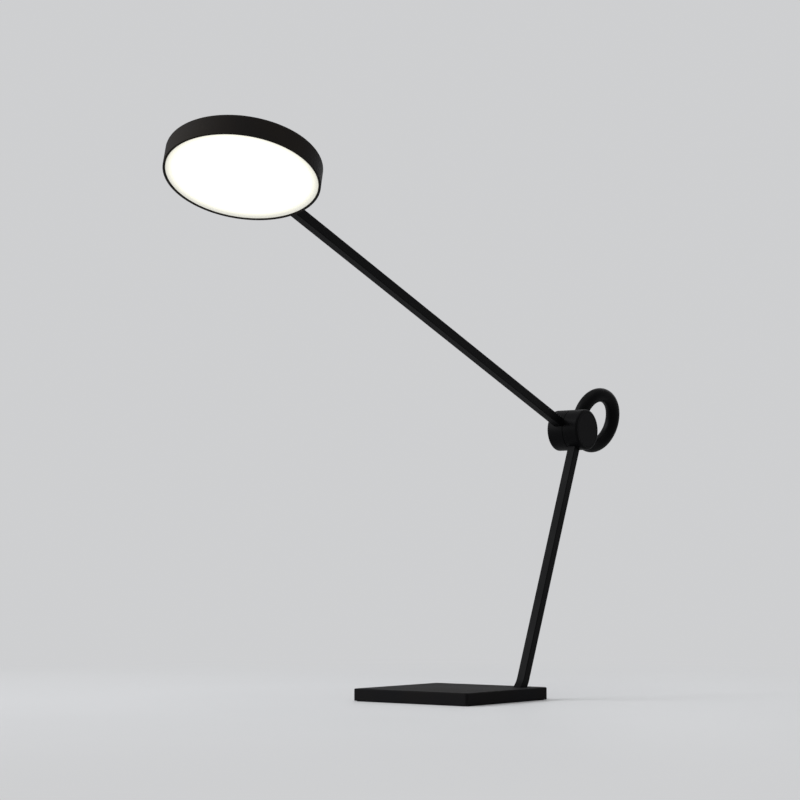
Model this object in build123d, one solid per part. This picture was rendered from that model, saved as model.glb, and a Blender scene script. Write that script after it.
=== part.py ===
from build123d import *
import math
import os

# Desk lamp with a weighted square foot, a leaning post, a friction hinge in a round drum,
# a long square arm that carries a thin disc light, and a thick ring as counterweight.
# Millimetres and degrees. +Z up, +X along the hinge axis, -Y towards the light.
# The origin is the centre of the foot's underside.

# ---- Stance ----
hub_height = 298.3          # hinge axis above the underside
post_lean = 22.1            # post, back from the vertical
arm_elevation = 21.4        # arm, above the horizontal
head_roll = 8.7             # head, turned about the arm
post_edge = 21.4            # post's centre plane, from the foot's side
foot_edge = 17.7            # from the foot's back to where the post's line meets the foot bend's line
head_distance = 600.4       # hinge axis to the centre of the head

# ---- Square bars of the post and the arm ----
bar_size = 10.0
bar_wall = 1.2
bar_corner = 0.8
bend_radius = 28.5          # centre line of the bend at the post's foot
bend_angle = 22.0           # turn of that bend
socket_gap = 0.05           # bar in its socket, all round

# ---- Base ----
plate_size = 150.0
plate_thickness = 13.0
plate_corner = 3.0
plate_edge = 0.8            # chamfer on the plate's top edge
pad_thickness = 0.6
pad_inset = 2.0
cover_thickness = 1.2
cover_inset = 7.5
cover_gap = 0.3
cover_corner = 6.0
cover_screw_inset = 12.0    # screw centres from the plate's edge
cover_screw_radius = 1.5
cover_screw_length = 6.0

# ---- Foot block that holds the post from below ----
block_width = 34.0
block_length = 28.0
block_thickness = 5.0
block_lift = 0.2            # above the cover
block_gap = 0.2             # block in its pocket
block_screw_edge = 5.2      # screw centres from the block's edges
foot_screw_radius = 2.0
foot_screw_depth = 5.0      # thread in the plate
shank_gap = 0.15            # around a foot screw's shank in the block

# ---- Driver bay, power socket and their wires ----
bay_width = 66.0
bay_length = 42.0
bay_depth = 7.5
bay_from_post = 22.5        # bay's middle, from the post's centre plane
bay_from_foot = 59.2        # bay's middle, in front of foot_y
board_width = 58.0
board_length = 34.0
board_thickness = 1.6
board_standoff = 4.7        # spacers between the bay's ceiling and the board
board_screw_inset = 3.5
spacer_radius = 2.6
board_screw_radius = 1.25
board_screw_depth = 2.0
choke_radius = 5.5
choke_x = -9.0              # from the board's centre, like the sizes below
choke_headroom = 0.7        # under the bay's ceiling
capacitor_radius = 3.2
capacitor_height = 3.6
capacitor_x = 2.0
capacitor_spacing = 10.0
controller_size = 7.0
controller_height = 1.4
controller_x = 11.5
terminal_size = 6.0
terminal_height = 3.4
terminal_edge = 9.5         # terminal's middle, from the board's back edge
terminal_gap = 0.4          # from the board's edge or terminal to a wire's end
jack_from_bay = 19.0        # socket's axis, from the bay's middle
jack_width = 9.0
jack_length = 11.0
jack_height = 6.6
jack_nose_radius = 2.95
jack_nose_length = 2.0
jack_bore_radius = 2.3
jack_bore_depth = 9.0
jack_pin_radius = 0.7
jack_gap = 0.2
channel_width = 4.0         # grooves for the wires under the plate
channel_height = 3.6
wire_radius = 1.3
wire_bend = 6.0

# ---- Hinge drum ----
hub_radius = 23.0
hub_edge = 2.5              # rounding of the drum's two outer edges
seam_gap = 0.5              # between the fixed and the turning half
seam_edge = 0.3
face_wall = 0.9             # drum wall between a bar and the seam
arm_web = 1.2               # drum wall between the arm and the spring pocket
post_web = 3.65             # drum wall between the post and the axle's flange
cap_thickness = 2.5
cap_rim = 3.6               # drum wall around an end cap
cap_gap = 0.1
cap_edge = 0.3

# ---- Hinge axle and its friction pack ----
axle_radius = 6.0
axle_bore = 4.0
flange_radius = 9.5
flange_thickness = 1.7
flange_clearance = 0.3
running_gap = 0.05
bush_wall = 1.5
bush_to_bar = 1.5           # drum wall between the bush or axle and a bar's end
washer_thickness = 0.8
spring_thickness = 0.6
spring_height = 0.8         # one disc spring, loaded
nut_height = 3.2
nut_width = 19.0            # across flats
nut_clearance = 0.45        # from the nut to the end cap
pack_gap = 0.9              # around the nut's corners
disc_sink = 0.6             # depth of the friction disc in the drum
disc_bore_gap = 0.3         # friction disc around the axle
wire_window = 4.6           # hole for the wire in the axle's wall
window_angle = 46.0         # of the arm's window in the axle, at rest
wire_turn = 2.6             # bend of the wire inside the axle
wire_gap = 0.05             # half the gap between the two wires on the axis
grub_radius = 2.0
grub_set_in = 6.0           # grub screw's axis from the drum's surface
grub_socket = 1.0
stop_radius = 1.75
stop_set_in = 5.2           # stop pin's axis from the drum's surface
stop_depth = 6.0
stop_reach = 2.2            # pin's reach past the seam's far face
stop_groove_depth = 2.8
stop_gap = 0.3
stop_angle = 90.0           # pin's place round the turning half
tilt_up = 58.0              # travel from the pose shown
tilt_down = 41.0
stop_margin = 0.5

# ---- Counterweight ring ----
ring_radius = 30.0
ring_tube = 8.0
ring_sink = 4.3             # depth of the ring in the drum
ring_angle = 36.1           # ring's centre, above the arm's line carried back
ring_lean = 16.4            # ring's plane, turned about the arm's direction
ring_x = -4.4               # ring's centre from the drum's seam
seat_gap = 0.02
stud_radius = 2.0
stud_length = 15.0
stud_spacing = 9.0

# ---- Head ----
head_radius = 75.0
head_back = 11.5            # from the arm's axis to the back
shell_wall = 2.2
shell_back = 2.5
shell_edge = 3.0            # rounding of the back edge
shell_rim_edge = 0.4
rim_recess = 0.8            # diffuser inside the rim
fit_gap = 0.2
diffuser_thickness = 1.5
guide_thickness = 2.0
guide_rim = 3.05            # from the guide to the carrier's outside
reflector_thickness = 0.4
stack_gap = 0.25            # between the reflector and the swivel block
carrier_wall = 1.6
flange_width = 14.0
flange_plate = 1.3
strip_thickness = 0.4
strip_inset = 0.1
led_count = 48
led_width = 2.8
led_depth = 0.7
led_height = 1.4
led_seat = 0.03             # solder under each light
boss_count = 6
boss_radius = 3.4
boss_set_in = 6.5           # boss centres from the flange's inner edge
carrier_screw_radius = 1.25
carrier_screw_depth = 6.0
head_wire_radius = 1.0
head_wire_bend = 6.0
head_wire_angle = 60.0      # where the wire meets the strip, from the arm

# ---- Head swivel ----
pin_radius = 3.5
pin_bore = 1.8
pin_bush_wall = 1.25
block_margin = 0.5          # swivel block below its bush
swivel_width = 21.0
swivel_length = 19.0
swivel_wall_gap = 0.25      # from the block's corners to the shell
swivel_screw_radius = 1.3
swivel_screw_edge = 2.9
swivel_screw_depth = 1.8
tip_gap = 0.8               # between the arm's end and the head
tail_length = 16.0          # pin's square tail in the arm
collar_gap = 0.4
ring_nut_radius = 5.0
ring_nut_length = 3.0
nut_slot_width = 2.0
nut_slot_depth = 1.0
nut_slot_length = 1.2
wave_radius = 4.9
wave_thickness = 0.5
wave_height = 1.5
pin_end = 0.4               # pin past its nut
flange_notch = 1.5          # carrier's cut-out round the swivel

# ---- Worked out from the sizes above ----
post_x = plate_size / 2 - post_edge
foot_y = plate_size / 2 - foot_edge
bay_x = post_x - bay_from_post
bay_y = foot_y - bay_from_foot
jack_x = bay_x - jack_from_bay
plate_bottom = pad_thickness
plate_top = plate_bottom + plate_thickness
cover_top = plate_bottom + cover_thickness
block_bottom = cover_top + block_lift
block_top = block_bottom + block_thickness
bay_top = cover_top + bay_depth
board_top = bay_top - board_standoff
board_bottom = board_top - board_thickness
terminal_y = board_length / 2 - terminal_edge
foot_angle = post_lean + bend_angle
lean_sin, lean_cos = math.sin(math.radians(post_lean)), math.cos(math.radians(post_lean))
foot_sin, foot_cos = math.sin(math.radians(foot_angle)), math.cos(math.radians(foot_angle))
bend_tangent = bend_radius * math.tan(math.radians(bend_angle / 2))
bend_z = plate_top + bend_tangent * foot_cos
hub_y = foot_y + (hub_height - bend_z) * lean_sin / lean_cos
bar_half = bar_size / 2
bar_bore = bar_size - 2 * bar_wall
bar_from_seam = seam_gap / 2 + face_wall + bar_half
seam_x = post_x - bar_from_seam

hub_face = seam_gap / 2
pack_depth = washer_thickness + 2 * spring_height + nut_height + nut_clearance
pack_floor = hub_face + face_wall + bar_size + arm_web
arm_cap_floor = pack_floor + pack_depth
arm_hub_end = arm_cap_floor + cap_thickness
flange_floor = hub_face + face_wall + bar_size + post_web
post_cap_floor = flange_floor + flange_thickness + flange_clearance
post_hub_end = post_cap_floor + cap_thickness
cap_pocket = hub_radius - cap_rim
pack_radius = nut_width / math.sqrt(3) + pack_gap
bush_radius = axle_radius + bush_wall
arm_root = bush_radius + bush_to_bar
post_root = axle_radius + bush_to_bar + bush_wall
stop_orbit = hub_radius - stop_set_in

head_front = (rim_recess + diffuser_thickness + guide_thickness + reflector_thickness + stack_gap
              + block_margin + pin_radius + pin_bush_wall)
shell_inside = head_radius - shell_wall
shell_ceiling = head_back - shell_back
diffuser_bottom = rim_recess - head_front
guide_bottom = diffuser_bottom + diffuser_thickness
reflector_bottom = guide_bottom + guide_thickness
flange_bottom = reflector_bottom + reflector_thickness
flange_top = flange_bottom + flange_plate
swivel_bottom = flange_bottom + stack_gap
carrier_radius = shell_inside - fit_gap
carrier_inside = carrier_radius - carrier_wall
flange_inside = carrier_radius - flange_width
pin_bush_radius = pin_radius + pin_bush_wall
swivel_out = math.sqrt(shell_inside ** 2 - (swivel_width / 2) ** 2) - swivel_wall_gap
swivel_in = swivel_out - swivel_length
nut_out = swivel_in - wave_height
nut_in = nut_out - ring_nut_length
pin_in = nut_in - pin_end
arm_tip = head_radius + tip_gap

# ---- Frames: where each group of pieces stands ----
hub_frame = Location((seam_x, hub_y, hub_height))
arm_frame = Location((seam_x, hub_y, hub_height), (-arm_elevation, 0, 0))
post_frame = Location((seam_x, hub_y, hub_height), (-post_lean, 0, 0))
head_frame = arm_frame * Location((-bar_from_seam, -head_distance, 0), (0, -head_roll, 0))

pieces = {}


def round_x(low, high, radius, bore=0.0):
    """Round bar or tube along X."""
    section = Circle(radius) - Circle(bore) if bore else Circle(radius)
    return extrude(Plane(origin=(low, 0, 0), z_dir=(1, 0, 0)) * section, high - low)


def round_y(low, high, radius, bore=0.0):
    """Round bar or tube along Y."""
    section = Circle(radius) - Circle(bore) if bore else Circle(radius)
    return extrude(Plane(origin=(0, low, 0), z_dir=(0, 1, 0)) * section, high - low)


def round_z(low, high, radius, bore=0.0):
    """Round bar or tube along Z."""
    section = Circle(radius) - Circle(bore) if bore else Circle(radius)
    return extrude(Plane.XY.offset(low) * section, high - low)


def block(x_span, y_span, z_span):
    """Box from its spans along X, Y and Z."""
    size = [span[1] - span[0] for span in (x_span, y_span, z_span)]
    middle = [(span[0] + span[1]) / 2 for span in (x_span, y_span, z_span)]
    return Pos(*middle) * Box(*size)


def slab(width, length, corner, low, high):
    """Plate with rounded corners, centred on the origin."""
    return extrude(Plane.XY.offset(low) * RectangleRounded(width, length, corner), high - low)


def bar_face(plane, growth=0.0):
    """Outer section of a square bar, grown all round."""
    side = bar_size + 2 * growth
    return plane * RectangleRounded(side, side, bar_corner + growth)


def bore_face(plane):
    """Section of the space inside a square bar."""
    return plane * RectangleRounded(bar_bore, bar_bore, bar_corner)


def wire_along(points, radii, radius):
    """Round wire on straight runs joined by tangent arcs."""
    path = FilletPolyline(*points, radius=radii)
    return sweep(Plane(origin=path @ 0, z_dir=path % 0) * Circle(radius), path)


def flat_screw(radius, length):
    """Countersunk screw that points up, head flush with z = 0, with a socket in the head."""
    head = Pos(0, 0, radius / 2) * Cone(2 * radius, radius, radius)
    shank = round_z(radius, length, radius)
    socket = extrude(RegularPolygon(radius * 0.75, 6), radius * 0.8)
    return head + shank - socket


def flat_screw_hole(radius, length, gap=0.0):
    """Space that such a screw takes, with a gap round its shank."""
    head = Pos(0, 0, radius / 2) * Cone(2 * radius, radius, radius)
    return head + round_z(0, length, radius + gap)


def grub(length):
    """Grub screw along X from x = 0, with its socket at that end."""
    socket = extrude(Plane.YZ * RegularPolygon(grub_socket, 6), length / 2)
    return round_x(0, length, grub_radius) - socket


# ---- Post and foot ----
def post_path():
    """Centre line of the post, from the drum down through the bend to below the plate."""
    hub = Vector(post_x, hub_y, hub_height)
    top = hub - Vector(0, lean_sin, lean_cos) * post_root
    corner = Vector(post_x, foot_y, bend_z)
    run = (bend_z - plate_bottom + bar_size) / foot_cos
    end = corner - Vector(0, foot_sin, foot_cos) * run
    return FilletPolyline(top, corner, end, radius=bend_radius)


def post_solid(growth=0.0):
    """The post's outer form, filled."""
    path = post_path()
    return sweep(bar_face(Plane(origin=path @ 0, x_dir=(1, 0, 0), z_dir=path % 0), growth), path)


def foot_line_y(z):
    """Where the post's centre line passes a height inside the plate."""
    return foot_y - (bend_z - z) * foot_sin / foot_cos


def wire_channel():
    """Groove for the post's wire, from the post forward into the driver bay."""
    middle = foot_line_y(block_bottom + channel_height / 2)
    return block((post_x - channel_width / 2, post_x + channel_width / 2), (bay_y, middle),
                 (plate_bottom, block_bottom + channel_height))


def foot_screw_places():
    """Centres of the four screws of the foot block."""
    middle = foot_line_y((block_bottom + block_top) / 2)
    across = block_width - 2 * block_screw_edge
    along = block_length - 2 * block_screw_edge
    return Pos(post_x, middle, block_bottom) * GridLocations(across, along, 2, 2)


def make_post():
    path = post_path()
    post = post_solid() - sweep(bore_face(Plane(origin=path @ 0, x_dir=(1, 0, 0), z_dir=path % 0)), path)
    post = split(post, Plane.XY.offset(block_bottom), keep=Keep.TOP)
    return post - wire_channel()


def make_foot_block():
    middle = foot_line_y((block_bottom + block_top) / 2)
    foot = block((post_x - block_width / 2, post_x + block_width / 2),
                 (middle - block_length / 2, middle + block_length / 2), (block_bottom, block_top))
    foot = foot - post_solid() - wire_channel()
    for place in foot_screw_places():
        foot -= place * flat_screw_hole(foot_screw_radius, block_thickness + 1, shank_gap)
    return foot


def make_foot_screws():
    length = block_thickness + foot_screw_depth
    return [place * flat_screw(foot_screw_radius, length) for place in foot_screw_places()]


# ---- Base ----
def jack_middle_z():
    return cover_top + jack_gap + jack_height / 2


def bay_block(gap=0.0):
    return block((bay_x - bay_width / 2 - gap, bay_x + bay_width / 2 + gap),
                 (bay_y - bay_length / 2 - gap, bay_y + bay_length / 2 + gap), (plate_bottom, bay_top))


def jack_back():
    """Where the socket's housing ends, in front of its nose."""
    return plate_size / 2 - jack_nose_length


def board_screw_places():
    across, along = board_width - 2 * board_screw_inset, board_length - 2 * board_screw_inset
    return Pos(bay_x, bay_y) * GridLocations(across, along, 2, 2)


def cover_screw_places():
    span = plate_size - 2 * cover_screw_inset
    return Pos(0, 0, plate_bottom) * GridLocations(span, span, 2, 2)


def make_base_plate():
    plate = slab(plate_size, plate_size, plate_corner, plate_bottom, plate_top)
    plate = chamfer(plate.faces().sort_by(Axis.Z)[-1].edges(), plate_edge)
    plate -= slab(plate_size - 2 * cover_inset, plate_size - 2 * cover_inset, cover_corner,
                  plate_bottom, cover_top)
    plate -= bay_block()
    middle = foot_line_y((block_bottom + block_top) / 2)
    across, along = block_width / 2 + block_gap, block_length / 2 + block_gap
    plate -= block((post_x - across, post_x + across), (middle - along, middle + along),
                   (plate_bottom, block_top))
    plate -= post_solid(socket_gap)
    plate -= wire_channel()
    side = jack_width / 2 + jack_gap
    front = jack_back() - jack_length
    plate -= block((jack_x - side, jack_x + side), (front - jack_gap, jack_back()),
                   (plate_bottom, cover_top + 2 * jack_gap + jack_height))
    plate -= Pos(jack_x, 0, jack_middle_z()) * round_y(front, plate_size / 2 + 1, jack_nose_radius + jack_gap)
    plate -= block((jack_x - channel_width / 2, jack_x + channel_width / 2), (bay_y, front),
                   (plate_bottom, jack_middle_z() + channel_height / 2))
    for place in foot_screw_places():
        plate -= place * round_z(block_thickness - 1, block_thickness + foot_screw_depth, foot_screw_radius)
    for place in board_screw_places():
        plate -= place * round_z(bay_top - 1, bay_top + board_screw_depth, board_screw_radius)
    for place in cover_screw_places():
        plate -= place * flat_screw_hole(cover_screw_radius, cover_screw_length)
    return plate


def make_base_cover():
    side = plate_size - 2 * cover_inset - 2 * cover_gap
    cover = slab(side, side, cover_corner - cover_gap, plate_bottom, cover_top)
    for place in cover_screw_places():
        cover -= place * flat_screw_hole(cover_screw_radius, cover_screw_length)
    return cover


def make_cover_screws():
    return [place * flat_screw(cover_screw_radius, cover_screw_length) for place in cover_screw_places()]


def make_base_pad():
    side = plate_size - 2 * pad_inset
    return slab(side, side, plate_corner, 0, pad_thickness)


def make_driver_board():
    board = block((bay_x - board_width / 2, bay_x + board_width / 2),
                  (bay_y - board_length / 2, bay_y + board_length / 2), (board_bottom, board_top))
    for place in board_screw_places():
        board -= place * round_z(board_bottom, board_top, board_screw_radius)
    return board


def standing_block(x, y, size, height):
    """Square block that stands on the board."""
    return block((x - size / 2, x + size / 2), (y - size / 2, y + size / 2), (0, height))


def make_board_components():
    """Choke, capacitors, controller and the two wire terminals on top of the board."""
    stand = Pos(bay_x, bay_y, board_top)
    parts = [Pos(choke_x, 0) * round_z(0, board_standoff - choke_headroom, choke_radius)]
    for side in (-1, 1):
        parts.append(Pos(capacitor_x, side * capacitor_spacing / 2)
                     * round_z(0, capacitor_height, capacitor_radius))
    parts.append(standing_block(controller_x, 0, controller_size, controller_height))
    for x in (jack_x - bay_x, post_x - bay_x):
        parts.append(standing_block(x, terminal_y, terminal_size, terminal_height))
    return [stand * part for part in parts]


def make_board_spacers():
    return [place * round_z(board_top, bay_top, spacer_radius, board_screw_radius)
            for place in board_screw_places()]


def make_board_screws():
    head_height = board_screw_radius * 0.8
    screws = []
    for place in board_screw_places():
        head = round_z(board_bottom - head_height, board_bottom, 2 * board_screw_radius)
        shank = round_z(board_bottom, bay_top + board_screw_depth, board_screw_radius)
        screws.append(place * (head + shank))
    return screws


def make_power_socket():
    """Round low-voltage socket in the plate's back edge, with its centre pin."""
    front = jack_back() - jack_length
    low = cover_top + jack_gap
    body = block((jack_x - jack_width / 2, jack_x + jack_width / 2), (front, jack_back()),
                 (low, low + jack_height))
    nose_end = plate_size / 2 - cap_edge
    body += Pos(jack_x, 0, jack_middle_z()) * round_y(jack_back(), nose_end, jack_nose_radius)
    body -= Pos(jack_x, 0, jack_middle_z()) * round_y(nose_end - jack_bore_depth, nose_end, jack_bore_radius)
    pin = round_y(nose_end - jack_bore_depth - 1, nose_end - 1, jack_pin_radius)
    return body + Pos(jack_x, 0, jack_middle_z()) * pin


def make_socket_lead():
    """Short lead from the socket to the driver board."""
    front = jack_back() - jack_length
    z = jack_middle_z()
    board_edge = bay_y + board_length / 2
    return Pos(jack_x, 0, z) * round_y(board_edge + terminal_gap, front, wire_radius)


def make_post_wire():
    """Wire from the driver bay up the post to the middle of the hinge."""
    wire_z = block_bottom + channel_height / 2
    start = Vector(post_x, bay_y + board_length / 2 + terminal_gap, wire_z)
    foot = Vector(post_x, foot_line_y(wire_z), wire_z)
    corner = Vector(post_x, foot_y, bend_z)
    hub = Vector(post_x, hub_y, hub_height)
    end = Vector(seam_x + wire_gap, hub_y, hub_height)
    return wire_along((start, foot, corner, hub, end), [wire_bend, bend_radius, wire_turn], wire_radius)


# ---- Fixed half of the drum, with the axle and its friction pack ----
def make_post_hub():
    hub = round_x(hub_face, post_hub_end, hub_radius)
    ends = hub.edges().filter_by(GeomType.CIRCLE).sort_by(Axis.X)
    hub = fillet(ends[-1], hub_edge)
    hub = chamfer(hub.edges().filter_by(GeomType.CIRCLE).sort_by(Axis.X)[0], seam_edge)
    hub -= round_x(post_cap_floor, post_hub_end, cap_pocket)
    hub -= round_x(flange_floor, post_cap_floor, flange_radius + cap_gap)
    hub -= round_x(0, post_cap_floor, axle_radius)
    hub = hub_frame * hub
    section = Plane(origin=(bar_from_seam, 0, -post_root), x_dir=(1, 0, 0), z_dir=(0, 0, -1))
    hub -= post_frame * extrude(bar_face(section, socket_gap), hub_radius)
    hub -= post_frame * (Pos(bar_from_seam, 0, 0) * round_z(-post_root - 1, 0, wire_window / 2))
    hub -= post_frame * (Pos(0, 0, grub_set_in - hub_radius)
                         * round_x(bar_from_seam, post_cap_floor, grub_radius))
    return hub - hub_frame * stop_groove()


def sector(low, high, angle):
    """Wedge about the hinge axis, symmetric about +Y, wider than the drum."""
    reach, half = 2 * hub_radius, math.radians(angle / 2)
    rim = [(reach * math.cos(half), side * reach * math.sin(half)) for side in (-1, 1)]
    outline = Polyline((0, 0), rim[0], (2 * reach, 0), rim[1], close=True)
    return extrude(Plane.YZ.offset(low) * make_face(outline), high - low)


def curved_slot(low, high, orbit, width, angle):
    """Slot with round ends that runs about the hinge axis, symmetric about +Y."""
    slot = round_x(low, high, orbit + width / 2, orbit - width / 2) & sector(low, high, angle)
    for side in (-1, 1):
        slot += Rot(side * angle / 2, 0, 0) * Pos(0, orbit, 0) * round_x(low, high, width / 2)
    return slot


def stop_groove():
    """Groove that the stop pin runs in, in the fixed half's face."""
    middle = stop_angle - arm_elevation + (tilt_down - tilt_up) / 2
    slot = curved_slot(hub_face, hub_face + stop_groove_depth, stop_orbit, 2 * (stop_radius + stop_gap),
                       tilt_up + tilt_down + 2 * stop_margin)
    return Rot(middle, 0, 0) * slot


def make_hinge_axle():
    """Hollow axle: flange in the fixed half, plain shank, and windows where the wires go in and out."""
    end = -(arm_cap_floor - nut_clearance)
    axle = round_x(end, flange_floor, axle_radius)
    axle += round_x(flange_floor, flange_floor + flange_thickness, flange_radius)
    axle -= round_x(end, flange_floor + flange_thickness, axle_bore)
    axle = hub_frame * axle
    axle -= post_frame * (Pos(bar_from_seam, 0, 0) * round_z(-axle_radius - 1, 0, wire_window / 2))
    low, high = -bar_from_seam - wire_window / 2, -bar_from_seam + wire_window / 2
    window = sector(low, high, tilt_up + tilt_down + window_angle)
    return axle - hub_frame * (Rot(180 - arm_elevation + (tilt_down - tilt_up) / 2, 0, 0) * window)


def make_thrust_washer():
    return hub_frame * round_x(-pack_floor - washer_thickness, -pack_floor - running_gap,
                               pack_radius - pack_gap, axle_radius)


def make_disc_springs():
    """Two dished springs, back to back."""
    outer = pack_radius - pack_gap
    rise = spring_height - spring_thickness
    springs = []
    for index in (0, 1):
        base = -pack_floor - washer_thickness - spring_height * (index + 1)
        inner_up = rise if index else 0.0
        outer_up = 0.0 if index else rise
        profile = Polyline((base + inner_up, axle_radius), (base + inner_up + spring_thickness, axle_radius),
                           (base + outer_up + spring_thickness, outer), (base + outer_up, outer), close=True)
        springs.append(hub_frame * revolve(make_face(profile), Axis.X))
    return springs


def make_axle_nut():
    end = -(arm_cap_floor - nut_clearance)
    nut = extrude(Plane(origin=(end, 0, 0), z_dir=(1, 0, 0)) * RegularPolygon(nut_width / 2, 6,
                                                                              major_radius=False), nut_height)
    return hub_frame * (nut - round_x(end, end + nut_height, axle_radius))


def end_cap(low, high):
    """Round cover in the drum's end."""
    return round_x(low, high, cap_pocket - cap_gap)


def make_post_cap():
    cap = end_cap(post_cap_floor, post_hub_end)
    cap = chamfer(cap.edges().sort_by(Axis.X)[-1], cap_edge)
    return hub_frame * cap


def make_post_grub():
    length = post_cap_floor - bar_from_seam - bar_half - 1
    screw = Rot(0, 180, 0) * grub(length)
    return post_frame * (Pos(bar_from_seam + bar_half + length, 0, grub_set_in - hub_radius) * screw)


# ---- Turning half of the drum ----
def ring_plane():
    """Plane of the counterweight ring, in the arm's frame."""
    reach = hub_radius + ring_radius + ring_tube - ring_sink
    angle, lean = math.radians(ring_angle), math.radians(ring_lean)
    centre = (ring_x, reach * math.cos(angle), reach * math.sin(angle))
    return Plane(origin=centre, x_dir=(0, 1, 0), z_dir=(math.cos(lean), 0, -math.sin(lean)))


def ring_seat():
    """Point of the ring's centre line that is nearest the hinge axis, and the line's direction there."""
    plane = ring_plane()
    toward = math.atan2(-plane.origin.Z / plane.y_dir.Z, -plane.origin.Y)
    point = plane.origin + plane.x_dir * (ring_radius * math.cos(toward))
    point += plane.y_dir * (ring_radius * math.sin(toward))
    tangent = plane.y_dir * math.cos(toward) - plane.x_dir * math.sin(toward)
    return point, tangent


def ring_studs():
    point, tangent = ring_seat()
    outward = Vector(0, point.Y, point.Z).normalized()
    studs = []
    for side in (-1, 1):
        middle = point + tangent * (side * stud_spacing / 2) - outward * (ring_tube / 2)
        start = middle - outward * (stud_length / 2)
        studs.append(extrude(Plane(origin=start, z_dir=outward) * Circle(stud_radius), stud_length))
    return studs


def make_arm_hub():
    hub = round_x(-arm_hub_end, -hub_face, hub_radius)
    hub = fillet(hub.edges().filter_by(GeomType.CIRCLE).sort_by(Axis.X)[0], hub_edge)
    hub = chamfer(hub.edges().filter_by(GeomType.CIRCLE).sort_by(Axis.X)[-1], seam_edge)
    hub -= round_x(-arm_hub_end, -arm_cap_floor, cap_pocket)
    hub -= round_x(-arm_cap_floor, -pack_floor, pack_radius)
    hub -= round_x(-pack_floor, -hub_face, bush_radius)
    hub -= round_x(-hub_face - disc_sink, -hub_face, arm_root)
    section = Plane(origin=(-bar_from_seam, -arm_root, 0), x_dir=(1, 0, 0), z_dir=(0, -1, 0))
    hub -= extrude(bar_face(section, socket_gap), hub_radius)
    hub -= Pos(-bar_from_seam, 0, 0) * round_y(-arm_root - 1, 0, wire_window / 2)
    hub -= Pos(0, grub_set_in - hub_radius, 0) * round_x(-arm_cap_floor, -bar_from_seam, grub_radius)
    stop = Rot(stop_angle, 0, 0) * Pos(0, stop_orbit, 0)
    hub -= stop * round_x(-hub_face - stop_depth, -hub_face, stop_radius)
    hub -= ring_plane() * Torus(ring_radius, ring_tube + seat_gap)
    for stud in ring_studs():
        hub -= stud
    return arm_frame * hub


def make_hinge_bush():
    bush = round_x(-pack_floor, -hub_face - disc_sink, bush_radius, axle_radius + running_gap)
    bush -= Pos(-bar_from_seam, 0, 0) * round_y(-arm_root, 0, wire_window / 2)
    return arm_frame * bush


def make_friction_disc():
    return arm_frame * round_x(-hub_face - disc_sink, hub_face - running_gap, arm_root - cap_gap,
                               axle_radius + disc_bore_gap)


def make_stop_pin():
    stop = Rot(stop_angle, 0, 0) * Pos(0, stop_orbit, 0)
    return arm_frame * (stop * round_x(-hub_face - stop_depth, hub_face + stop_reach, stop_radius))


def make_arm_grub():
    length = arm_cap_floor - bar_from_seam - bar_half - 1
    screw = grub(length)
    return arm_frame * (Pos(-bar_from_seam - bar_half - length, grub_set_in - hub_radius, 0) * screw)


def make_arm_cap():
    cap = end_cap(-arm_hub_end, -arm_cap_floor)
    cap = chamfer(cap.edges().sort_by(Axis.X)[0], cap_edge)
    return arm_frame * cap


def make_counterweight_ring():
    ring = ring_plane() * Torus(ring_radius, ring_tube)
    for stud in ring_studs():
        ring -= stud
    return arm_frame * ring


# ---- Arm ----
def make_arm():
    section = Plane(origin=(-bar_from_seam, -arm_root, 0), x_dir=(1, 0, 0), z_dir=(0, -1, 0))
    length = head_distance - arm_tip - arm_root
    return arm_frame * (extrude(bar_face(section), length) - extrude(bore_face(section), length))


def make_arm_wire():
    """Wire from the middle of the hinge through the arm and the swivel pin into the head."""
    start = Vector(-wire_gap, 0, 0)
    corner = Vector(-bar_from_seam, 0, 0)
    end = Vector(-bar_from_seam, -head_distance + pin_in + wire_gap, 0)
    return arm_frame * wire_along((start, corner, end), [wire_turn], wire_radius)


def make_swivel_pin():
    """Hollow pin on the head's turning axis, with a square tail that is bonded in the arm."""
    pin = round_y(pin_in, arm_tip, pin_radius)
    pin += round_y(swivel_out + running_gap, arm_tip, pin_bush_radius)
    tail = Plane(origin=(0, arm_tip, 0), x_dir=(1, 0, 0), z_dir=(0, 1, 0))
    pin += extrude(bore_face(tail), tail_length)
    pin -= round_y(pin_in, arm_tip + tail_length, pin_bore)
    return swivel_frame() * pin


def swivel_frame():
    """Frame of the pieces that stay with the arm at its tip, with the head's centre as origin."""
    return arm_frame * Pos(-bar_from_seam, -head_distance, 0)


def make_swivel_nut():
    nut = round_y(nut_in, nut_out, ring_nut_radius, pin_radius)
    half = nut_slot_width / 2
    for side in (-1, 1):
        rim = side * ring_nut_radius
        nut -= block((rim - nut_slot_depth, rim + nut_slot_depth), (nut_in, nut_in + nut_slot_length),
                     (-half, half))
    return swivel_frame() * nut


def make_wave_spring():
    """Sprung washer between the nut and the swivel block, drawn as a shallow dished ring."""
    inner, gap = pin_radius + running_gap, running_gap
    near, far = swivel_in - gap, nut_out
    profile = Polyline((inner, far), (inner, far + wave_thickness), (wave_radius, near),
                       (wave_radius, near - wave_thickness), close=True)
    return swivel_frame() * revolve(make_face(profile), Axis.Y)


# ---- Head ----
def boss_places():
    return PolarLocations(flange_inside + boss_set_in, boss_count)


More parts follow.
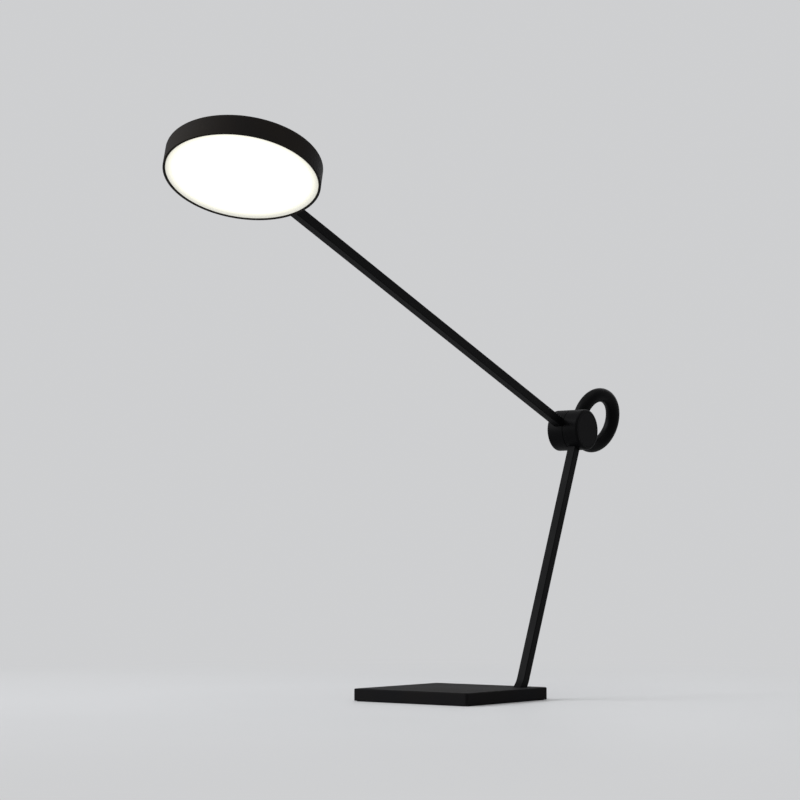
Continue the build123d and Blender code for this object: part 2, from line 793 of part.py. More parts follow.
def make_head_shell():
    shell = round_z(-head_front, head_back, head_radius)
    rims = shell.edges().filter_by(GeomType.CIRCLE).sort_by(Axis.Z)
    shell = fillet(rims[-1], shell_edge)
    shell = chamfer(shell.edges().filter_by(GeomType.CIRCLE).sort_by(Axis.Z)[0], shell_rim_edge)
    shell -= round_z(-head_front, shell_ceiling, shell_inside)
    for place in boss_places():
        shell += place * round_z(flange_top, shell_ceiling, boss_radius)
        shell -= place * Pos(0, 0, flange_bottom) * flat_screw_hole(carrier_screw_radius, carrier_screw_depth)
    shell -= round_y(swivel_in, head_radius + 1, pin_bush_radius + collar_gap)
    for screw in swivel_screw_places():
        shell -= screw * round_z(0, shell_ceiling - swivel_bottom + swivel_screw_depth, swivel_screw_radius)
    return head_frame * shell


def swivel_screw_places():
    across = swivel_width / 2 - swivel_screw_edge
    middle = (swivel_in + swivel_out) / 2
    return [Pos(side * across, middle, swivel_bottom) for side in (-1, 1)]


def make_swivel_block():
    half = swivel_width / 2
    body = block((-half, half), (swivel_in, swivel_out), (swivel_bottom, shell_ceiling))
    body -= round_y(swivel_in, swivel_out, pin_bush_radius)
    for place in swivel_screw_places():
        body -= place * flat_screw_hole(swivel_screw_radius, shell_ceiling - swivel_bottom)
    return head_frame * body


def make_swivel_screws():
    length = shell_ceiling - swivel_bottom + swivel_screw_depth
    return [head_frame * (place * flat_screw(swivel_screw_radius, length)) for place in swivel_screw_places()]


def make_swivel_bush():
    return head_frame * round_y(swivel_in, swivel_out, pin_bush_radius, pin_radius + running_gap)


def make_led_carrier():
    """Ring with an inward flange: it holds the lit stack up to the shell."""
    carrier = round_z(guide_bottom, flange_top, carrier_radius, carrier_inside)
    carrier += round_z(flange_bottom, flange_top, carrier_radius, flange_inside)
    half = swivel_width / 2 + flange_notch
    carrier -= block((-half, half), (pin_in - flange_notch, head_radius), (flange_bottom, flange_top))
    for place in boss_places():
        carrier -= place * Pos(0, 0, flange_bottom) * flat_screw_hole(carrier_screw_radius, flange_plate)
    return head_frame * (carrier - head_wire_hole())


def make_carrier_screws():
    screw = Pos(0, 0, flange_bottom) * flat_screw(carrier_screw_radius, carrier_screw_depth)
    return [head_frame * (place * screw) for place in boss_places()]


def make_led_strip():
    low, high = guide_bottom + strip_inset, reflector_bottom - strip_inset
    return head_frame * round_z(low, high, carrier_inside, carrier_inside - strip_thickness)


def make_led_chips():
    middle = (guide_bottom + reflector_bottom) / 2
    radius = carrier_inside - strip_thickness - led_seat - led_depth / 2
    chip = Pos(0, 0, middle) * Box(led_depth, led_width, led_height)
    return [head_frame * (place * chip) for place in PolarLocations(radius, led_count)]


def make_light_guide():
    return head_frame * round_z(guide_bottom, reflector_bottom, carrier_radius - guide_rim)


def make_reflector():
    return head_frame * round_z(reflector_bottom, flange_bottom, carrier_inside)


def make_diffuser():
    return head_frame * round_z(diffuser_bottom, guide_bottom, carrier_radius)


def head_wire_end():
    """Where the head's wire goes down through the carrier's flange."""
    radius = (flange_inside + carrier_inside) / 2
    angle = math.radians(90 - head_wire_angle)
    return radius * math.cos(angle), radius * math.sin(angle)


def head_wire_hole():
    x, y = head_wire_end()
    return Pos(x, y, 0) * round_z(flange_bottom, flange_top, head_wire_radius + collar_gap)


def make_head_wire():
    """Wire from the swivel pin across the head and down to the strip."""
    x, y = head_wire_end()
    turn_y = pin_in - 2 * head_wire_bend
    points = ((0, pin_in - wire_gap, 0), (0, turn_y, 0), (x, y, 0), (x, y, flange_bottom + fit_gap))
    radii = [head_wire_bend, -flange_bottom / 2]
    return head_frame * wire_along(points, radii, head_wire_radius)


def gather():
    """Every piece by name; like pieces share one name."""
    pieces.update(
        base_plate=make_base_plate(), base_cover=make_base_cover(), cover_screws=make_cover_screws(),
        base_pad=make_base_pad(), foot_block=make_foot_block(), foot_screws=make_foot_screws(),
        post=make_post(), post_wire=make_post_wire(),
        driver_board=make_driver_board(), board_components=make_board_components(),
        board_spacers=make_board_spacers(), board_screws=make_board_screws(),
        power_socket=make_power_socket(), socket_lead=make_socket_lead(),
        post_hub=make_post_hub(), post_cap=make_post_cap(), post_grub_screw=make_post_grub(),
        hinge_axle=make_hinge_axle(), thrust_washer=make_thrust_washer(),
        disc_springs=make_disc_springs(), axle_nut=make_axle_nut(),
        arm_hub=make_arm_hub(), arm_cap=make_arm_cap(), hinge_bush=make_hinge_bush(),
        friction_disc=make_friction_disc(), stop_pin=make_stop_pin(), arm_grub_screw=make_arm_grub(),
        counterweight_ring=make_counterweight_ring(),
        ring_studs=[arm_frame * stud for stud in ring_studs()],
        arm=make_arm(), arm_wire=make_arm_wire(), swivel_pin=make_swivel_pin(),
        swivel_nut=make_swivel_nut(), wave_spring=make_wave_spring(),
        head_shell=make_head_shell(), swivel_block=make_swivel_block(), swivel_screws=make_swivel_screws(),
        swivel_bush=make_swivel_bush(), led_carrier=make_led_carrier(), carrier_screws=make_carrier_screws(),
        led_strip=make_led_strip(), led_chips=make_led_chips(), light_guide=make_light_guide(),
        reflector=make_reflector(), diffuser=make_diffuser(), head_wire=make_head_wire())


gather()
os.makedirs("parts", exist_ok=True)
for name, shape in pieces.items():
    if isinstance(shape, list):
        shape = Compound(children=shape)
    export_step(shape, f"parts/{name}.step")
print("hinge axis", round(seam_x, 3), round(hub_y, 3), hub_height, "head thickness", head_front + head_back)
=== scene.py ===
import math

import bmesh
import bpy
import numpy as np
from mathutils import Euler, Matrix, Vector


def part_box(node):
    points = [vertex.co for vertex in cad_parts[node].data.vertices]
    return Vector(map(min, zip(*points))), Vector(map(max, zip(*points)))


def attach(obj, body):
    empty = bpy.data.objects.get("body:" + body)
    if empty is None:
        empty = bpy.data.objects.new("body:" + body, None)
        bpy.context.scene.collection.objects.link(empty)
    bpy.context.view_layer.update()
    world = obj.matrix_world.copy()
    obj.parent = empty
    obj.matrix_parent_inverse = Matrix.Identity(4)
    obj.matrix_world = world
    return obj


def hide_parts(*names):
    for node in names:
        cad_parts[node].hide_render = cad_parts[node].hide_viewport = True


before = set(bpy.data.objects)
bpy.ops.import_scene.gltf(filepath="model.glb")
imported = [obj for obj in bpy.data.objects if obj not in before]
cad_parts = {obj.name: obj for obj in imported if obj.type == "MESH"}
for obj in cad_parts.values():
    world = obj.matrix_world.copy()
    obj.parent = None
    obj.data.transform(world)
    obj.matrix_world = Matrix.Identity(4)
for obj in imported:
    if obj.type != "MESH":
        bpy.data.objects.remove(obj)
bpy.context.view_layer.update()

bl_info = {
    "name": "Counterweight Desk Lamp",
    "version": (1, 0, 0),
    "blender": (4, 5, 0),
    "location": "View3D > Sidebar > Desk Lamp",
    "description": "Dresses the packed frame of a desk lamp with its surfaces, finishes and studio",
    "category": "Add Mesh",
}

MM = 0.001
BAR_SEAT = 10 * MM  # from the hinge axis to the bars' ends inside the drum
BAR_INSET = 0.2 * MM  # softening of the bars' ends
POST_CLEARANCE = 0.5 * MM  # from the lowest point of the post's end to the ground
HEAD_CLEARANCE = 1 * MM  # from the arm's tip to the head's side wall
FOOT_MARGIN = 1.5 * MM  # edges this close to the foot's sides are softened
SOFT = 0.3 * MM  # rounding of the fine edges at the seam, the caps and the lit disc
GLOW_TOWARDS = (0.57, -0.82, 0.0)  # way from the head's middle to the middle of its glow, on the head's axes
LAMP_AIM = (0.0, -0.05, 0.3)  # point that the studio's lamps look at
FLOOR_FADE = (0.35, 1.0)  # distances between which the floor turns into the backdrop, in metres


# ---- Sizes and colours that a user would change ----
def length(title, about, mm, low=0.0):
    """A length property, given in millimetres."""
    return bpy.props.FloatProperty(name=title, description=about, default=mm * MM, min=low * MM,
                                   precision=5, subtype="DISTANCE", unit="LENGTH")


def turn(title, about, degrees):
    """An angle property, given in degrees."""
    return bpy.props.FloatProperty(name=title, description=about, default=math.radians(degrees),
                                   subtype="ANGLE", unit="ROTATION")


def tint(title, about, colour):
    """A colour property."""
    return bpy.props.FloatVectorProperty(name=title, description=about, default=colour, size=3,
                                         min=0.0, max=1.0, subtype="COLOR")


class LampStance(bpy.types.PropertyGroup):
    """Where the hinge stands and how the bars lean."""

    hub_height: length("Hinge height", "Hinge axis above the ground", 298.3)
    hub_y: length("Hinge set-back", "Hinge axis behind the foot's middle", 171.289)
    seam_x: length("Seam", "Plane between the drum's two halves", 47.45)
    post_lean: turn("Post lean", "Lean of the post, back from the vertical", 22.1)
    bend_turn: turn("Foot bend", "Further lean of the post where it enters the foot", 22.0)
    arm_rise: turn("Arm rise", "Rise of the arm above the horizontal", 21.4)
    head_roll: turn("Head roll", "Turn of the head about the arm", 8.7)
    head_distance: length("Head distance", "Hinge axis to the middle of the head", 600.4)


class LampFoot(bpy.types.PropertyGroup):
    """Foot slab."""

    size: length("Foot size", "Side of the square foot", 150.0)
    edge: length("Foot edge", "Width that each softened edge of the foot takes", 0.5)


class LampBars(bpy.types.PropertyGroup):
    """Square bars of the post and the arm."""

    width: length("Bar width", "Outside width of the square bars", 10.0)
    corner: length("Bar corner", "Corner radius of the square bars", 0.8)
    bend_radius: length("Bend radius", "Centre line of the bend at the post's foot", 28.5)
    foot_y: length("Post foot", "Where the post's line meets the foot bend's line", 57.3)
    bar_offset: length("Bar offset", "Middle of each bar from the seam", 6.15)


class LampDrum(bpy.types.PropertyGroup):
    """Round hinge drum and its ring."""

    radius: length("Drum radius", "Outside radius of the drum", 23.0)
    edge: length("Drum edge", "Rounding of the drum's outer edges", 2.5)
    seam: length("Seam", "Gap between the drum's halves", 0.5)
    post_end: length("Fixed half", "Seam to the end of the fixed half", 19.3)
    arm_end: length("Turning half", "Seam to the end of the turning half", 20.9)
    cap_radius: length("Cap radius", "Radius of the end caps", 19.3)
    cap_gap: length("Cap gap", "Line around an end cap", 0.1)
    ring_radius: length("Ring radius", "Centre line of the counterweight ring", 30.0)
    ring_tube: length("Ring tube", "Radius of the ring's section", 8.0)
    ring_sink: length("Ring sink", "Depth of the ring in the drum", 4.3)
    ring_turn: turn("Ring place", "Ring's middle above the arm's line carried back", 36.1)
    ring_lean: turn("Ring lean", "Ring's plane turned about the arm", 16.4)
    ring_offset: length("Ring offset", "Ring's middle from the seam", -4.4, low=-100.0)


class LampHead(bpy.types.PropertyGroup):
    """Disc light."""

    radius: length("Head radius", "Outside radius of the disc", 75.0)
    back: length("Back", "Arm's axis to the head's back", 11.5)
    front: length("Front", "Arm's axis to the head's lit side", 10.2)
    edge: length("Back edge", "Rounding of the back edge", 3.0)
    wall: length("Wall", "Thickness of the side wall", 2.2)
    recess: length("Recess", "Lit disc inside the rim", 0.8)
    gap: length("Disc gap", "Line between the lit disc and the rim", 0.2)
    disc: length("Disc thickness", "Thickness of the lit disc", 1.5)
    glow: bpy.props.FloatProperty(name="Glow", description="Brightness of the lit disc's middle",
                                  default=1.9, min=0.0)
    rim_glow: bpy.props.FloatProperty(name="Rim glow", description="Brightness at the lit disc's rim",
                                      default=0.24, min=0.0)
    glow_shift: length("Glow shift", "Middle of the glow, towards the disc's free side", 2.5)


class LampColours(bpy.types.PropertyGroup):
    """Colours of the finishes."""

    foot_coat: tint("Foot powder coat", "Foot slab", (0.0065, 0.0065, 0.007))
    head_coat: tint("Head powder coat", "Head housing", (0.0132, 0.0122, 0.0114))
    paint: tint("Satin paint", "Bars, drum and ring", (0.0026, 0.0026, 0.0029))
    glow_middle: tint("Glow", "Light of the disc's middle", (1.0, 0.985, 0.95))
    glow_rim: tint("Rim glow", "Light at the disc's rim", (1.0, 0.965, 0.68))
    rubber: tint("Rubber", "Pad under the foot", (0.02, 0.02, 0.02))
    backdrop: tint("Backdrop", "Studio floor and background", (0.62, 0.625, 0.635))


class LampStudio(bpy.types.PropertyGroup):
    """Camera, lamps and floor."""

    eye: bpy.props.FloatVectorProperty(name="Camera", description="Where the camera stands",
                                       default=(1.3991, -1.9177, 0.1427), subtype="TRANSLATION",
                                       unit="LENGTH")
    pitch: turn("Pitch", "Camera above the level", 4.38)
    yaw: turn("Yaw", "Camera about the vertical", 37.44)
    lens: bpy.props.FloatProperty(name="Lens", description="Focal length in millimetres", default=98.44)
    key: bpy.props.FloatProperty(name="Key", description="Power of the large side lamp", default=108.0)
    top: bpy.props.FloatProperty(name="Top", description="Power of the lamp overhead", default=24.0)
    rim: bpy.props.FloatProperty(name="Rim", description="Power of the lamp behind", default=13.0)
    air: bpy.props.FloatProperty(name="Air", description="Strength of the light from all round",
                                 default=0.3)


GROUPS = (LampStance, LampFoot, LampBars, LampDrum, LampHead, LampColours, LampStudio)
GROUP_NAMES = ("lamp_stance", "lamp_foot", "lamp_bars", "lamp_drum", "lamp_head", "lamp_colours",
               "lamp_studio")


# ---- Surfaces ----
def put_in_scene(name, data):
    """New object in the scene's own collection."""
    thing = bpy.data.objects.new(name, data)
    bpy.context.scene.collection.objects.link(thing)
    return thing


def directions(path):
    """Unit direction of a path at each of its points."""
    along = np.gradient(path, axis=0)
    return along / np.linalg.norm(along, axis=1, keepdims=True)


def area_normals(points, quads, fans):
    """Normal of each point: the sum of the cross products of its faces' diagonals or sides."""
    normals = np.zeros_like(points)
    if len(quads):
        cross = np.cross(points[quads[:, 2]] - points[quads[:, 0]], points[quads[:, 3]] - points[quads[:, 1]])
        for corner in range(4):
            np.add.at(normals, quads[:, corner], cross)
    if len(fans):
        cross = np.cross(points[fans[:, 1]] - points[fans[:, 0]], points[fans[:, 2]] - points[fans[:, 0]])
        for corner in range(3):
            np.add.at(normals, fans[:, corner], cross)
    return normals / np.maximum(np.linalg.norm(normals, axis=1, keepdims=True), 1e-12)


def surface(name, grid, closed_rows=False, start=None, end=None):
    """Mesh of a grid P(u, v) whose v runs round; u is open, closed, or ends in a point each way.

    Face (i, j) joins P(i, j), P(i, j+1), P(i+1, j+1), P(i+1, j), with j taken round.
    """
    rows, columns = grid.shape[:2]
    points = grid.reshape(-1, 3)
    index = np.arange(rows * columns).reshape(rows, columns)
    beside = np.roll(index, -1, axis=1)
    if closed_rows:
        below, below_beside = np.roll(index, -1, axis=0), np.roll(beside, -1, axis=0)
        quads = np.stack([index, beside, below_beside, below], axis=-1).reshape(-1, 4)
    else:
        quads = np.stack([index[:-1], beside[:-1], beside[1:], index[1:]], axis=-1).reshape(-1, 4)
    fans = []
    if start is not None:
        fans.append(np.stack([np.full(columns, len(points)), beside[0], index[0]], axis=-1))
        points = np.vstack([points, start])
    if end is not None:
        fans.append(np.stack([np.full(columns, len(points)), index[-1], beside[-1]], axis=-1))
        points = np.vstack([points, end])
    fans = np.vstack(fans) if fans else np.zeros((0, 3), int)
    mesh = bpy.data.meshes.new(name)
    mesh.from_pydata(points, [], quads.tolist() + fans.tolist())
    mesh.update()
    mesh.polygons.foreach_set("use_smooth", np.ones(len(mesh.polygons), bool))
    mesh.normals_split_custom_set_from_vertices(area_normals(points, quads, fans))
    return put_in_scene(name, mesh)


def lathe(name, profile, origin, axes, around=160):
    """P(u, v) = origin + r(u) (cos v A + sin v B) + h(u) C.

    The profile is a list of (r, h) that starts and ends at r = 0.
    """
    radius, height = profile[1:-1, 0], profile[1:-1, 1]
    angle = np.linspace(0, 2 * np.pi, around, endpoint=False)
    a, b, c = axes
    spoke = np.cos(angle)[:, None] * a + np.sin(angle)[:, None] * b
    grid = origin + radius[:, None, None] * spoke[None] + height[:, None, None] * c
    return surface(name, grid, start=origin + profile[0, 1] * c, end=origin + profile[-1, 1] * c)


def arc(centre, radius, start, end, count):
    """Points centre + radius (cos t, sin t), t from start to end in degrees."""
    t = np.radians(np.linspace(start, end, count))
    return np.array(centre) + radius * np.stack([np.cos(t), np.sin(t)], axis=-1)


def rounded_square(half, corner, steps=6):
    """Section of a square bar: four quarter circles of the corner radius, joined by its sides."""
    centres = (half - corner) * np.array([(1, 1), (-1, 1), (-1, -1), (1, -1)])
    return np.vstack([arc(centre, corner, 90 * k, 90 * (k + 1), steps) for k, centre in enumerate(centres)])


def bar(name, section, path, side, up, inset):
    """P(u, v) = path(u) + x(v) side + y(v) up(u); the ends are drawn in by a small inset and closed."""
    grid = path[:, None] + section[None, :, :1] * side + section[None, :, 1:] * up[:, None]
    along = directions(path)
    start, end = path[0] - along[0] * inset, path[-1] + along[-1] * inset
    shrink = 1 - inset / np.abs(section).max()
    first = start + (grid[0] - path[0]) * shrink
    last = end + (grid[-1] - path[-1]) * shrink
    return surface(name, np.concatenate([first[None], grid, last[None]]), start=start, end=end)


def softened(name, node, reach, width):
    """Copy of a packed solid whose outer edges are softened.

    Its triangles are merged into flat faces. Every bent edge that lies at least reach from the upright
    axis in x or y then gets three narrow strips, turned in equal steps.
    """
    flat, bend, crease = (math.radians(angle) for angle in (1, 25, 35))
    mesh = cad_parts[node].data.copy()
    mesh.name = name
    work = bmesh.new()
    work.from_mesh(mesh)
    bmesh.ops.remove_doubles(work, verts=work.verts, dist=1e-6)
    bmesh.ops.dissolve_limit(work, angle_limit=flat, verts=work.verts, edges=work.edges)
    bent = [edge for edge in work.edges if edge.calc_face_angle(0) > bend
            and all(max(abs(point.co.x), abs(point.co.y)) > reach for point in edge.verts)]
    bmesh.ops.bevel(work, geom=bent, offset=width, offset_type="OFFSET", segments=3, profile=0.5,
                    affect="EDGES", clamp_overlap=True)
    work.to_mesh(mesh)
    work.free()
    mesh.polygons.foreach_set("use_smooth", np.ones(len(mesh.polygons), bool))
    mesh.set_sharp_from_angle(angle=crease)
    piece = put_in_scene(name, mesh)
    piece.modifiers.new("even_shading", "WEIGHTED_NORMAL").keep_sharp = True
    return piece


# ---- Frames of the pieces ----
def axis_turn(angle):
    """Matrix that turns about +X."""
    c, s = math.cos(angle), math.sin(angle)
    return np.array([(1, 0, 0), (0, c, -s), (0, s, c)])


def hub_point():
    """Point where the hinge axis meets the seam between the drum's halves."""
    stance = bpy.context.scene.lamp_stance
    return np.array([stance.seam_x, stance.hub_y, stance.hub_height])


def arm_axes():
    """Columns: hinge axis, the arm's line carried back, and the direction square to both."""
    return axis_turn(-bpy.context.scene.lamp_stance.arm_rise)


def head_axes():
    """Head's own X, Y (towards the hinge) and Z (out of its back)."""
    roll = bpy.context.scene.lamp_stance.head_roll
    c, s = math.cos(roll), math.sin(roll)
    about_arm = np.array([(c, 0, -s), (0, 1, 0), (s, 0, c)])
    return arm_axes() @ about_arm


def head_middle():
    """Point on the arm's line at the middle of the disc light."""
    stance, bars = bpy.context.scene.lamp_stance, bpy.context.scene.lamp_bars
    return hub_point() + arm_axes() @ np.array([-bars.bar_offset, -stance.head_distance, 0])


# ---- Finishes ----
def feed(tree, node, inputs):
    """Links a node's inputs to other nodes' outputs, or sets them."""
    for socket, value in inputs.items():
        if isinstance(value, bpy.types.NodeSocket):
            tree.links.new(value, node.inputs[socket])
        else:
            node.inputs[socket].default_value = value


def chain(tree, kind, inputs=(), **settings):
    """Adds a node, sets its fields, feeds its inputs and returns it."""
    node = tree.nodes.new(kind)
    for field, value in settings.items():
        setattr(node, field, value)
    feed(tree, node, dict(inputs))
    return node


def start_finish(name):
    """New material with an output, a principled shader and object coordinates."""
    finish = bpy.data.materials.new(name)
    finish.use_nodes = True
    tree = finish.node_tree
    tree.nodes.clear()
    shader = chain(tree, "ShaderNodeBsdfPrincipled")
    chain(tree, "ShaderNodeOutputMaterial", {"Surface": shader.outputs["BSDF"]})
    place = chain(tree, "ShaderNodeTexCoord").outputs["Object"]
    return finish, tree, shader, place


def grain(tree, place, scale, detail=2.0, roughness=0.5, stretch=None):
    """Noise on object coordinates, its scale per metre, stretched if asked; returns its factor."""
    if stretch:
        place = chain(tree, "ShaderNodeMapping", {"Vector": place, "Scale": stretch}).outputs[0]
    return chain(tree, "ShaderNodeTexNoise", {"Vector": place, "Scale": scale, "Detail": detail,
                                              "Roughness": roughness}).outputs["Fac"]


def between(tree, factor, low, high, from_low=0.3, from_high=0.7):
    """Maps a factor to a range of numbers."""
    return chain(tree, "ShaderNodeMapRange", {"Value": factor, "From Min": from_low, "From Max": from_high,
                                              "To Min": low, "To Max": high}).outputs[0]


def shades(tree, factor, low, high, from_low=0.3, from_high=0.7):
    """Maps a factor to a ramp between two colours."""
    ramp = chain(tree, "ShaderNodeValToRGB", {"Fac": factor})
    first, last = ramp.color_ramp.elements
    first.position, last.position = from_low, from_high
    first.color, last.color = (*low, 1.0), (*high, 1.0)
    return ramp.outputs["Color"]


def scaled(colour, factor):
    """A colour made darker or lighter."""
    return tuple(min(1.0, c * factor) for c in colour)


def dent(tree, shader, height, depth, strength=1.0):
    """Bump of a given depth in metres."""
    bump = chain(tree, "ShaderNodeBump", {"Height": height, "Distance": depth, "Strength": strength})
    feed(tree, shader, {"Normal": bump.outputs["Normal"]})


def powder_coat(name, colour):
    """Baked powder: a fine pebbled skin, with broad faint clouds that run from cool to warm."""
    finish, tree, shader, place = start_finish(name)
    clouds = grain(tree, place, 11.0, 3.0)
    pebbles = grain(tree, place, 1100.0, 2.0, 0.6)
    cool, warm = [np.array(colour) * tone for tone in ((0.82, 0.86, 1.0), (1.35, 1.22, 1.08))]
    shade = shades(tree, clouds, cool, warm)
    rough = chain(tree, "ShaderNodeMath", {0: between(tree, clouds, 0.68, 0.76),
                                           1: between(tree, pebbles, -0.05, 0.06)}, operation="ADD")
    feed(tree, shader, {"Base Color": shade, "Roughness": rough.outputs[0], "Specular IOR Level": 0.05})
    dent(tree, shader, pebbles, 0.1 * MM)
    return finish


def satin_paint(name, colour):
    """Sprayed satin paint: low ripples of the spray and a few soft handling marks."""
    finish, tree, shader, place = start_finish(name)
    ripple = grain(tree, place, 420.0, 2.0)
    marks = grain(tree, place, 24.0, 5.0, 0.65)
    feed(tree, shader, {"Base Color": shades(tree, marks, scaled(colour, 0.85), scaled(colour, 1.25)),
                        "Roughness": between(tree, marks, 0.42, 0.52), "Specular IOR Level": 0.04})
    dent(tree, shader, ripple, 0.03 * MM, 0.6)
    return finish


def bare_metal(name, colour, stretch, roughness=(0.22, 0.38), lines=260.0):
    """Rolled, turned or plated metal: fine streaks along one direction over a soft mottle."""
    finish, tree, shader, place = start_finish(name)
    streaks = grain(tree, place, lines, 4.0, 0.6, stretch)
    mottle = grain(tree, place, 60.0, 3.0)
    feed(tree, shader, {"Base Color": shades(tree, mottle, scaled(colour, 0.82), scaled(colour, 1.1)),
                        "Roughness": between(tree, streaks, *roughness), "Metallic": 1.0})
    dent(tree, shader, streaks, 0.02 * MM, 0.5)
    return finish


def moulded(name, colour, roughness=(0.4, 0.52), pattern=900.0, sheen=0.0):
    """Moulded plastic or rubber: an even spark-eroded skin with faint flow clouds."""
    finish, tree, shader, place = start_finish(name)
    skin = grain(tree, place, pattern, 2.0)
    flow = grain(tree, place, 45.0, 3.0)
    feed(tree, shader, {"Base Color": shades(tree, flow, scaled(colour, 0.85), scaled(colour, 1.15)),
                        "Roughness": between(tree, skin, *roughness), "Sheen Weight": sheen})
    dent(tree, shader, skin, 0.04 * MM, 0.7)
    return finish


def printed_board(name, mask, copper):
    """White solder mask with raised tracks in two directions and small round pads."""
    finish, tree, shader, place = start_finish(name)
    tracks = chain(tree, "ShaderNodeTexBrick", {"Vector": place, "Scale": 260.0, "Mortar Size": 0.035,
                                                "Color1": (1, 1, 1, 1), "Color2": (1, 1, 1, 1),
                                                "Mortar": (0, 0, 0, 1)})
    pads = chain(tree, "ShaderNodeTexVoronoi", {"Vector": place, "Scale": 330.0, "Randomness": 0.2})
    dots = between(tree, pads.outputs["Distance"], 1.0, 0.0, 0.16, 0.2)
    lines = shades(tree, tracks.outputs["Fac"], mask, scaled(mask, 0.86), 0.2, 0.8)
    colour = chain(tree, "ShaderNodeMix", {"Factor": dots, "A": lines, "B": (*copper, 1.0)}, data_type="RGBA")
    feed(tree, shader, {"Base Color": colour.outputs["Result"],
                        "Roughness": between(tree, dots, 0.38, 0.22, 0.0, 1.0), "Metallic": dots})
    dent(tree, shader, tracks.outputs["Fac"], 0.03 * MM, 0.6)
    return finish


def phosphor(name):
    """Cured yellow resin over each light, brighter in its middle grain."""
    finish, tree, shader, place = start_finish(name)
    resin = grain(tree, place, 1200.0, 2.0)
    feed(tree, shader, {"Base Color": shades(tree, resin, (0.8, 0.58, 0.16), (0.95, 0.8, 0.36)),
                        "Roughness": 0.35, "Emission Color": (1.0, 0.93, 0.72, 1.0),
                        "Emission Strength": between(tree, resin, 1.6, 2.4)})
    return finish


def clear_guide(name):
    """Clear acrylic with printed dots that take the light out of it."""
    finish, tree, shader, place = start_finish(name)
    cells = chain(tree, "ShaderNodeTexVoronoi", {"Vector": place, "Scale": 400.0, "Randomness": 0.0})
    dots = between(tree, cells.outputs["Distance"], 1.0, 0.0, 0.22, 0.28)
    feed(tree, shader, {"Base Color": shades(tree, dots, (0.95, 0.98, 0.98), (0.9, 0.9, 0.88), 0.0, 1.0),
                        "Roughness": between(tree, dots, 0.05, 0.6, 0.0, 1.0), "IOR": 1.49,
                        "Transmission Weight": between(tree, dots, 1.0, 0.2, 0.0, 1.0)})
    return finish


def opal_glow(name, middle, reach, colours, strengths):
    """Opal acrylic lit from behind: brightness and tint change with the distance from the disc's middle."""
    finish, tree, shader, place = start_finish(name)
    centred = chain(tree, "ShaderNodeMapping", {"Vector": place, "Location": tuple(middle)},
                    vector_type="TEXTURE")
    distance = chain(tree, "ShaderNodeVectorMath", {0: centred.outputs[0]}, operation="LENGTH")
    share = chain(tree, "ShaderNodeMath", {0: distance.outputs["Value"], 1: reach}, operation="DIVIDE")
    milk = grain(tree, place, 55.0, 4.0)
    spread = chain(tree, "ShaderNodeMath", {0: share.outputs[0], 1: between(tree, milk, -0.006, 0.006)},
                   operation="ADD")
    fade = between(tree, spread.outputs[0], 0.0, 1.0, 0.66, 1.0)
    feed(tree, shader, {"Emission Color": shades(tree, fade, *colours, 0.0, 1.0),
                        "Emission Strength": between(tree, fade, *strengths, 0.0, 1.0),
                        "Base Color": shades(tree, milk, (0.86, 0.85, 0.82), (0.9, 0.89, 0.87)),
                        "Roughness": 0.45})
    return finish


def give(piece, finish):
    """Makes a finish the only one of a piece."""
    piece.data.materials.clear()
    piece.data.materials.append(finish)


def dress(piece, finish, body, slot, *nodes):
    """Finish, body and the packed nodes that a new surface stands for; the slot is not used."""
    give(piece, finish)
    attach(piece, body)
    if nodes:
        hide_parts(*nodes)


def finish_nodes(names, finish):
    """Gives carried-over nodes their finish."""
    for name in names:
        give(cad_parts[name], finish)


# ---- Operators ----
class LAMP_OT_foot(bpy.types.Operator):
    """Foot slab with softened edges, and the pad that it stands on"""

    bl_idname = "lamp.foot"
    bl_label = "Foot"

    def execute(self, context):
        foot, colours = context.scene.lamp_foot, context.scene.lamp_colours
        slab = softened("foot_slab", "base_plate", foot.size / 2 - FOOT_MARGIN, foot.edge)
        dress(slab, powder_coat("foot_powder_coat", colours.foot_coat), "stand", "foot_steel", "base_plate")
        finish_nodes(["base_pad"], moulded("pad_rubber", colours.rubber, (0.75, 0.9), 700.0, 0.1))
        return {"FINISHED"}


class LAMP_OT_post(bpy.types.Operator):
    """Square post that leans back out of the foot"""

    bl_idname = "lamp.post"
    bl_label = "Post"

    def execute(self, context):
        stance, bars = context.scene.lamp_stance, context.scene.lamp_bars
        node_low, node_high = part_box("post")
        x = (node_low.x + node_high.x) / 2
        lean, foot_lean = stance.post_lean, stance.post_lean + stance.bend_turn
        up = np.array([0, math.sin(lean), math.cos(lean)])
        foot_up = np.array([0, math.sin(foot_lean), math.cos(foot_lean)])
        rise = (stance.hub_y - bars.foot_y) / math.tan(lean)
        corner = np.array([x, bars.foot_y, stance.hub_height - rise])
        tangent = bars.bend_radius * math.tan(stance.bend_turn / 2)
        centre = corner + up * tangent - bars.bend_radius * np.array([0, math.cos(lean), -math.sin(lean)])
        angles = np.linspace(lean, foot_lean, 24)
        bend = centre + bars.bend_radius * np.stack([0 * angles, np.cos(angles), -np.sin(angles)], axis=-1)
        top = np.array([x, stance.hub_y, stance.hub_height]) - up * BAR_SEAT
        foot_z = node_low.z + math.sin(foot_lean) * bars.width / 2 + POST_CLEARANCE
        foot_end = corner - foot_up * ((corner[2] - foot_z) / foot_up[2])
        # The path runs from the drum down a straight line, round the bend and into the foot
        straight = np.linspace(0, 1, 60)[1:-1, None]
        path = np.vstack([[top], top + (bend[0] - top) * straight, bend, [foot_end]])
        side = np.array([1.0, 0, 0])
        section = rounded_square(bars.width / 2, bars.corner)
        piece = bar("post_bar", section, path, side, np.cross(directions(path), side), BAR_INSET)
        paint = satin_paint("post_satin_paint", context.scene.lamp_colours.paint)
        dress(piece, paint, "stand", "bar_steel", "post")
        return {"FINISHED"}


